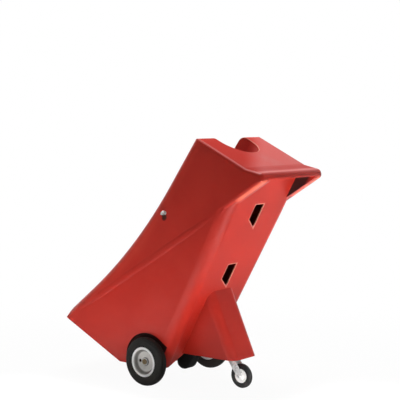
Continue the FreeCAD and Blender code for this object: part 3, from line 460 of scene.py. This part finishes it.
FINISHES = {
    "red_moulding": finish(
        "red_moulding_finish", [(0.54, 0.026, 0.015), (0.59, 0.032, 0.019)], (0.32, 0.40), 850.0, 0.0003, 3.0,
        [
            scuffs(0.2, (0.62, 0.14, 0.09), 5.0, 0.6),
            dust(0.14, (0.30, 0.26, 0.22), 0.22),
            # Painted highlight along the front edge of the flanks.
            mark(FRONT_EDGE_HIGHLIGHT, 0.5, (0.70, 0.060, 0.036)),
            mark(RUBBED, 0.55, PALE_RED),
            # Painted highlight around the slots of the back panel.
            mark(SLOT_EDGE_HIGHLIGHT, 0.7, PALE_RED),
            # Painted sheen along the rear edge of the wings.
            mark(PAINTED_WING_SHEEN, 0.9, (0.86, 0.16, 0.09)),
            # Painted shade, made rougher, in the hollow before the handle bar.
            mark(BAR_HOLLOW_SHADE, 0.6, SHADE_RED, 0.3),
            # Painted shade on one side of the deck, made matt there.
            mark(DECK_SHADE_AND_MATT, 0.3, SHADE_RED, 0.6),
            # Painted shade in the hand recess under the handle bar.
            mark(RECESS_SHADE, 0.93, SHADE_BLACK, 0.4),
            # Painted shade inside the wheel boxes.
            mark(BOX_SHADE, 0.93, SHADE_BLACK, 0.4),
            # Dark brown spot below each tie eye.
            mark(EYE_DARK_SPOT, 0.92, DARK_BROWN, 0.3),
        ],
        Specular_IOR_Level=0.3,
    ),
    "black_tyre": finish(
        "tyre_rubber_finish", [(0.013, 0.012, 0.010), (0.026, 0.024, 0.020)], (0.55, 0.72), 500.0, 0.0003, 30.0,
        [scuffs(0.3, (0.07, 0.07, 0.065), 30.0, 0.5), dust(0.18, (0.12, 0.11, 0.10), 0.2)],
    ),
    "silver_rim": finish(
        "silver_rim_finish", [(0.60, 0.59, 0.56), (0.70, 0.69, 0.66)], (0.28, 0.4), 900.0, 0.0001, 25.0,
        [
            dust(0.2, (0.25, 0.21, 0.18), 0.25),
            # Painted shade by the hub and in the hollow behind the lip.
            mark(RIM_RINGS, 0.75, (0.10, 0.09, 0.08), output="PaintedShade"),
            # Painted highlight on the lip.
            mark(RIM_RINGS, 0.9, (0.96, 0.96, 0.95), output="Lip"),
        ],
        Metallic=0.25,
    ),
    "zinc_steel": finish(
        "zinc_plate_finish", [(0.84, 0.85, 0.85), (0.93, 0.94, 0.93)], (0.26, 0.42), 600.0, 0.00012, 60.0,
        # Dark brown spot below each tie eye, over the eye too.
        [scuffs(0.15, (0.55, 0.54, 0.52), 40.0, 0.55), mark(EYE_DARK_SPOT, 0.85, DARK_BROWN, 0.3)],
        Metallic=0.3,
    ),
    "yellow_zinc": finish(
        "yellow_zinc_finish", [(0.36, 0.26, 0.15), (0.46, 0.35, 0.22)], (0.3, 0.45), 600.0, 0.00012, 80.0,
        Metallic=0.9,
    ),
    "black_nylon": finish(
        "black_nylon_finish", [(0.016, 0.016, 0.017), (0.026, 0.026, 0.027)], (0.42, 0.55), 700.0, 0.0002, 40.0,
    ),
    "pale_nylon": finish(
        "pale_nylon_finish", [(0.82, 0.81, 0.79), (0.90, 0.90, 0.88)], (0.38, 0.5), 700.0, 0.0002, 40.0,
        [dust(0.12, (0.45, 0.42, 0.38), 0.14)],
    ),
    "castor_rubber": finish(
        "castor_rubber_finish", [(0.012, 0.012, 0.013), (0.028, 0.028, 0.028)], (0.5, 0.68), 600.0, 0.0002, 45.0,
        [dust(0.25, (0.13, 0.12, 0.11), 0.12)],
    ),
    "black_rubber": finish(
        "skid_rubber_finish", [(0.004, 0.004, 0.004), (0.009, 0.009, 0.009)], (0.65, 0.8), 400.0, 0.0004, 20.0,
        [scuffs(0.2, (0.05, 0.047, 0.044), 18.0, 0.55)],
        Specular_IOR_Level=0.3,
    ),
}
node_slots = {item["node"]: item["material_slot"] for item in frame["record"]["subparts"]}
for node, shown in frame["nodes"].items():
    shown.data.materials.clear()
    shown.data.materials.append(FINISHES[node_slots[node]])

# Making pieces.

SAME_PLANE = math.cos(math.radians(0.15))
BROAD_AREA = 0.03
BROAD_WIDTH = 0.03
SAME_SIDE = 0.5
SAME_POINT = 0.00001
FLAT_ANGLE = math.radians(0.4)
SHARP_ANGLE = math.radians(28.0)
CREASE = 35.0

body_of = {node: body for body, held in frame["record"]["behaviour"]["bodies"].items() for node in held}


def flat_region(first, seen):
    """The faces that lie in one plane with a face and join it, and the length of their outline."""
    region = [first]
    outline = 0.0
    seen.add(first)
    for face in region:
        for edge in face.edges:
            for other in edge.link_faces:
                if other is face:
                    continue
                if other.normal.dot(first.normal) < SAME_PLANE:
                    outline += edge.calc_length()
                elif other not in seen:
                    seen.add(other)
                    region.append(other)
    return region, outline


def broad_normals(mesh):
    """The normal of the broad flat region at each vertex that lies on one."""
    mesh.normal_update()
    mesh.verts.index_update()
    seen = set()
    normals = {}
    for first in mesh.faces:
        if first in seen:
            continue
        region, outline = flat_region(first, seen)
        area = sum(face.calc_area() for face in region)
        if area > BROAD_AREA and 2.0 * area > BROAD_WIDTH * outline:
            for vert in {vert for face in region for vert in face.verts}:
                normals[vert.index] = first.normal.copy()
    return normals


def keep_broad_faces_flat(data, normals):
    """Lets the roundings shade into the broad faces, so that those stay evenly flat."""
    custom = []
    for face in data.polygons:
        for corner in face.vertices:
            normal = normals.get(corner)
            beside = normal is not None and normal.dot(face.normal) > SAME_SIDE
            custom.append(normal if beside else Vector())
    data.normals_split_custom_set(custom)


def piece(name, mesh, finish_name, body, replaced=(), crease=CREASE):
    data = bpy.data.meshes.new(name)
    normals = broad_normals(mesh)
    for face in mesh.faces:
        face.smooth = True
    mesh.to_mesh(data)
    mesh.free()
    data.set_sharp_from_angle(angle=math.radians(crease))
    if normals:
        keep_broad_faces_flat(data, normals)
    shown = bpy.data.objects.new(name, data)
    scene.collection.objects.link(shown)
    data.materials.append(FINISHES[finish_name])
    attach(shown, body)
    if replaced:
        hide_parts(*replaced)


def merged(node):
    """A merged copy of a solid's mesh, with its flat faces joined up."""
    mesh = bmesh.new()
    mesh.from_mesh(frame["nodes"][node].data)
    bmesh.ops.remove_doubles(mesh, verts=mesh.verts, dist=SAME_POINT)
    bmesh.ops.dissolve_limit(mesh, angle_limit=FLAT_ANGLE, verts=mesh.verts, edges=mesh.edges)
    return mesh


def soften(mesh, width, segments, skip):
    """Rounds the sharp edges of a mesh and marks the rounded faces as rubbed."""
    rubbed = mesh.faces.layers.float.new(RUBBED)
    sharp = []
    for edge in mesh.edges:
        if len(edge.link_faces) != 2 or edge.calc_face_angle() < SHARP_ANGLE:
            continue
        if skip and skip((edge.verts[0].co + edge.verts[1].co) / 2):
            continue
        sharp.append(edge)
    made = bmesh.ops.bevel(
        mesh, geom=sharp, offset=width, offset_type="OFFSET", segments=segments, profile=0.5,
        affect="EDGES", clamp_overlap=True, material=-1,
    )
    for face in made["faces"]:
        face[rubbed] = 1.0


def softened(node, width, segments=2, skip=None):
    mesh = merged(node)
    soften(mesh, width, segments, skip)
    piece(f"{node}_finished", mesh, node_slots[node], body_of[node], [node])


# The moulded body, with its remaining edges softened. The edge between shell and lining stays closed.

SEAM_TOLERANCE = 0.0006


def on_seam(point):
    spot = upright(point)
    around = abs(spot.x) if spot.y <= 0 else math.hypot(spot.x, spot.y)
    return abs(around - WELL_RADIUS - WALL) < SEAM_TOLERANCE


softened("body_shell", 0.0028, 3, on_seam)
softened("cradle", 0.004, 3, on_seam)

# Bead along the ridge of each flank.

RIDGE_FOOT = (-0.352, 0.029)
RIDGE_HEAD = (0.262, 1.08)
BEAD_HALF_WIDTH = 0.0277
BEAD_HEIGHT = 0.012
BEAD_SUNK = 0.0095
BEAD_FULLNESS = 0.35
BEAD_SEGMENTS = (64, 48)


def ridge_bead(side, sign):
    low = on_body(sign * HALF_WIDTH, *RIDGE_FOOT)
    high = on_body(sign * HALF_WIDTH, *RIDGE_HEAD)
    along = (high - low).normalized()
    across = along.cross(Vector((1, 0, 0)))
    turn = Matrix((along, across, along.cross(across))).transposed().to_4x4()
    size = Matrix.Diagonal(((high - low).length / 2, BEAD_HALF_WIDTH, BEAD_HEIGHT, 1.0))
    sunk = Vector((-sign * BEAD_SUNK, 0.0, 0.0))
    place = Matrix.Translation((low + high) / 2 + sunk) @ turn @ size
    poles_along = Matrix.Rotation(math.pi / 2, 4, "Y")
    round_segments, length_segments = BEAD_SEGMENTS
    mesh = bmesh.new()
    bmesh.ops.create_uvsphere(
        mesh, u_segments=round_segments, v_segments=length_segments, radius=1.0, matrix=poles_along
    )
    for vert in mesh.verts:
        vert.co.x = math.copysign(abs(vert.co.x) ** BEAD_FULLNESS, vert.co.x)
    bmesh.ops.transform(mesh, matrix=place, verts=mesh.verts)
    piece(f"{side}_ridge_bead", mesh, "red_moulding", "frame")


ridge_bead("left", 1)
ridge_bead("right", -1)

# Main tyres with a ribbed tread and ringed sidewalls. Half of the section as (along the axle, radius).

TYRE_HALF = [
    (0.0212, 0.0681), (0.0212, 0.0772), (0.0238, 0.0776), (0.0254, 0.0815), (0.0263, 0.0858), (0.0266, 0.0882),
    (0.0259, 0.0888), (0.0259, 0.0898), (0.0268, 0.0905), (0.0270, 0.0955), (0.0269, 0.1030), (0.0266, 0.1056),
    (0.0258, 0.1062), (0.0257, 0.1074), (0.0261, 0.1082), (0.0250, 0.1126), (0.0234, 0.1160), (0.0209, 0.1192),
    (0.0178, 0.1216), (0.0150, 0.1230), (0.0143, 0.1230), (0.0139, 0.1203), (0.0117, 0.1203), (0.0113, 0.1239),
    (0.0106, 0.1242), (0.0062, 0.1248), (0.0055, 0.1248), (0.0051, 0.1218), (0.0029, 0.1218), (0.0025, 0.1249),
    (0.0018, 0.1250),
]
TYRE_STEPS = 96
TYRE_CREASE = 40.0
TYRE_SAME_POINT = 0.000005
SHOULDER_RADIUS = (0.1165, 0.1228)
SHOULDER_ALONG = (0.0155, 0.0228)
NOTCH_BORDER = 0.0012
NOTCH_DEPTH = 0.0014


def lathe(profile, steps):
    """Turns a profile of (along, radius) points about the X axis through the origin."""
    mesh = bmesh.new()
    points = [mesh.verts.new((along, 0.0, radius)) for along, radius in profile]
    lines = [mesh.edges.new(pair) for pair in zip(points, points[1:])]
    bmesh.ops.spin(
        mesh, geom=points + lines, cent=(0, 0, 0), axis=(1, 0, 0), dvec=(0, 0, 0),
        angle=2 * math.pi, steps=steps, use_merge=True, use_duplicate=False,
    )
    bmesh.ops.remove_doubles(mesh, verts=mesh.verts, dist=TYRE_SAME_POINT)
    bmesh.ops.recalc_face_normals(mesh, faces=mesh.faces)
    return mesh


def on_shoulder(face):
    spot = face.calc_center_median()
    around = SHOULDER_RADIUS[0] < spot.yz.length < SHOULDER_RADIUS[1]
    return around and SHOULDER_ALONG[0] < abs(spot.x) < SHOULDER_ALONG[1]


def main_tyre(side, sign):
    profile = TYRE_HALF + [(-along, radius) for along, radius in reversed(TYRE_HALF)]
    mesh = lathe(profile + profile[:1], TYRE_STEPS)
    notches = [face for face in mesh.faces if on_shoulder(face)]
    bmesh.ops.inset_individual(mesh, faces=notches, thickness=NOTCH_BORDER, depth=0.0)
    for face in notches:
        out = face.calc_center_median()
        out.x = 0
        bmesh.ops.translate(mesh, vec=-out.normalized() * NOTCH_DEPTH, verts=face.verts)
    bmesh.ops.translate(mesh, vec=Vector((sign * axle.x, axle.y, axle.z)), verts=mesh.verts)
    piece(f"{side}_cushion_tyre", mesh, "black_tyre", f"{side}_wheel", [f"{side}_tyre"], TYRE_CREASE)


main_tyre("left", 1)
main_tyre("right", -1)

# Small pieces with their edges softened, and how wide.

EDGE_WIDTHS = {
    "castor_fork": 0.0012, "castor_plate": 0.0008, "castor_bolts": 0.0005, "castor_nuts": 0.0005,
    "castor_axle_bolt": 0.0006, "castor_axle_nut": 0.0006, "castor_race": 0.0025, "kingpin": 0.0012,
    "castor_core": 0.0012, "castor_tyre": 0.0015, "axle_caps": 0.0015, "axle_washers": 0.0005,
    "left_outer_rim": 0.0009, "right_outer_rim": 0.0009, "left_inner_rim": 0.0009, "right_inner_rim": 0.0009,
    "left_tie_eye": 0.0018, "right_tie_eye": 0.0018, "skid_block": 0.002,
}
for node, width in EDGE_WIDTHS.items():
    softened(node, width)

# Stage: pale floor, white surroundings, soft studio light.

BACKDROP = (-0.783, -0.622, 0.0)
WHITE = (1.0, 1.0, 1.0, 1.0)
FLOOR_HALF = 14.0
FLOOR_GREY = (0.86, 0.86, 0.86, 1.0)
FLOOR_ROUGHNESS = 0.9
SHADOW_EDGE = (0.9, 2.6)
FLOOR_WHITENESS = (0.955, 1.0)
NEAR_PAPER = (-0.6, 0.6)
NEAR_PAPER_LEVEL = (0.12, 0.45)
FAR_PAPER = (0.72, 1.15)
FAR_PAPER_LEVEL = (0.0, 0.5)
BACKDROP_EDGE = (0.2, 0.75)
ROOM_LEVEL = 0.14
ROOM_GLOSS = 0.3


def rays(tree):
    """Whether a ray comes straight from the eye, and whether it comes from a gloss."""
    path = tree.nodes.new("ShaderNodeLightPath").outputs
    return maths(tree, "MAXIMUM", path["Is Camera Ray"], path["Is Transmission Ray"]), path["Is Glossy Ray"]


def make_floor():
    """White paper under and behind the trolley. It keeps the trolley's shadow."""
    mesh = bmesh.new()
    bmesh.ops.create_grid(mesh, x_segments=1, y_segments=1, size=FLOOR_HALF)
    data = bpy.data.meshes.new("floor")
    mesh.to_mesh(data)
    mesh.free()
    floor = bpy.data.objects.new("floor", data)
    scene.collection.objects.link(floor)
    material = bpy.data.materials.new("floor_paper")
    material.use_nodes = True
    tree = material.node_tree
    shader = tree.nodes["Principled BSDF"]
    feed(tree, shader.inputs["Base Color"], FLOOR_GREY)
    feed(tree, shader.inputs["Roughness"], FLOOR_ROUGHNESS)
    where = tree.nodes.new("ShaderNodeTexCoord").outputs["Object"]
    away = vector_maths(tree, "LENGTH", where)
    behind = vector_maths(tree, "DOT_PRODUCT", where, BACKDROP)
    seen, glossy = rays(tree)
    plain = product(tree, seen, ramp(tree, away, *SHADOW_EDGE, *FLOOR_WHITENESS))
    near = ramp(tree, behind, *NEAR_PAPER, *NEAR_PAPER_LEVEL)
    far = ramp(tree, behind, *FAR_PAPER, *FAR_PAPER_LEVEL)
    mirrored = product(tree, glossy, maths(tree, "ADD", near, far))
    glow = tree.nodes.new("ShaderNodeEmission")
    feed(tree, glow.inputs["Strength"], maths(tree, "MAXIMUM", seen, mirrored))
    mix = tree.nodes.new("ShaderNodeMixShader")
    feed(tree, mix.inputs["Fac"], maths(tree, "MAXIMUM", plain, glossy))
    feed(tree, mix.inputs[1], shader.outputs["BSDF"])
    feed(tree, mix.inputs[2], glow.outputs["Emission"])
    feed(tree, tree.nodes["Material Output"].inputs["Surface"], mix.outputs["Shader"])
    data.materials.append(material)


def make_surroundings():
    """White to the eye all round. A gloss mirrors white paper behind the trolley and a dimmer room elsewhere."""
    world = bpy.data.worlds.new("surroundings")
    world.use_nodes = True
    tree = world.node_tree
    background = tree.nodes["Background"]
    feed(tree, background.inputs["Color"], WHITE)
    way = tree.nodes.new("ShaderNodeTexCoord").outputs["Generated"]
    paper = ramp(tree, vector_maths(tree, "DOT_PRODUCT", way, BACKDROP), *BACKDROP_EDGE, ROOM_GLOSS, 1.0)
    seen, glossy = rays(tree)
    shown = maths(tree, "MAXIMUM", seen, product(tree, glossy, paper))
    feed(tree, background.inputs["Strength"], maths(tree, "MAXIMUM", shown, ROOM_LEVEL))
    scene.world = world


def soft_light(name, place, aim, size, power, spread=180.0):
    data = bpy.data.lights.new(name, "AREA")
    data.shape = "RECTANGLE"
    data.size, data.size_y = size
    data.energy = power
    data.spread = math.radians(spread)
    light = bpy.data.objects.new(name, data)
    light.location = place
    light.rotation_euler = (Vector(aim) - Vector(place)).to_track_quat("-Z", "Y").to_euler()
    scene.collection.objects.link(light)


make_floor()
make_surroundings()
soft_light("top_light", (-0.6, -0.2, 4.4), (0.0, 0.2, 0.0), (2.6, 2.6), 150.0)
soft_light(
    "castor_light", castor + Vector((0.45, 0.42, -0.02)), castor - Vector((0.0, 0.0, 0.02)),
    (0.16, 0.06), 0.07, 22.0,
)
soft_light("floor_light_side", (0.8, -0.1, 0.3), (0.8, -0.1, 0.0), (0.5, 1.3), 8.5, 70.0)
soft_light("floor_light_back", (0.15, 1.35, 0.45), (0.15, 1.35, 0.0), (1.1, 1.1), 25.5, 70.0)
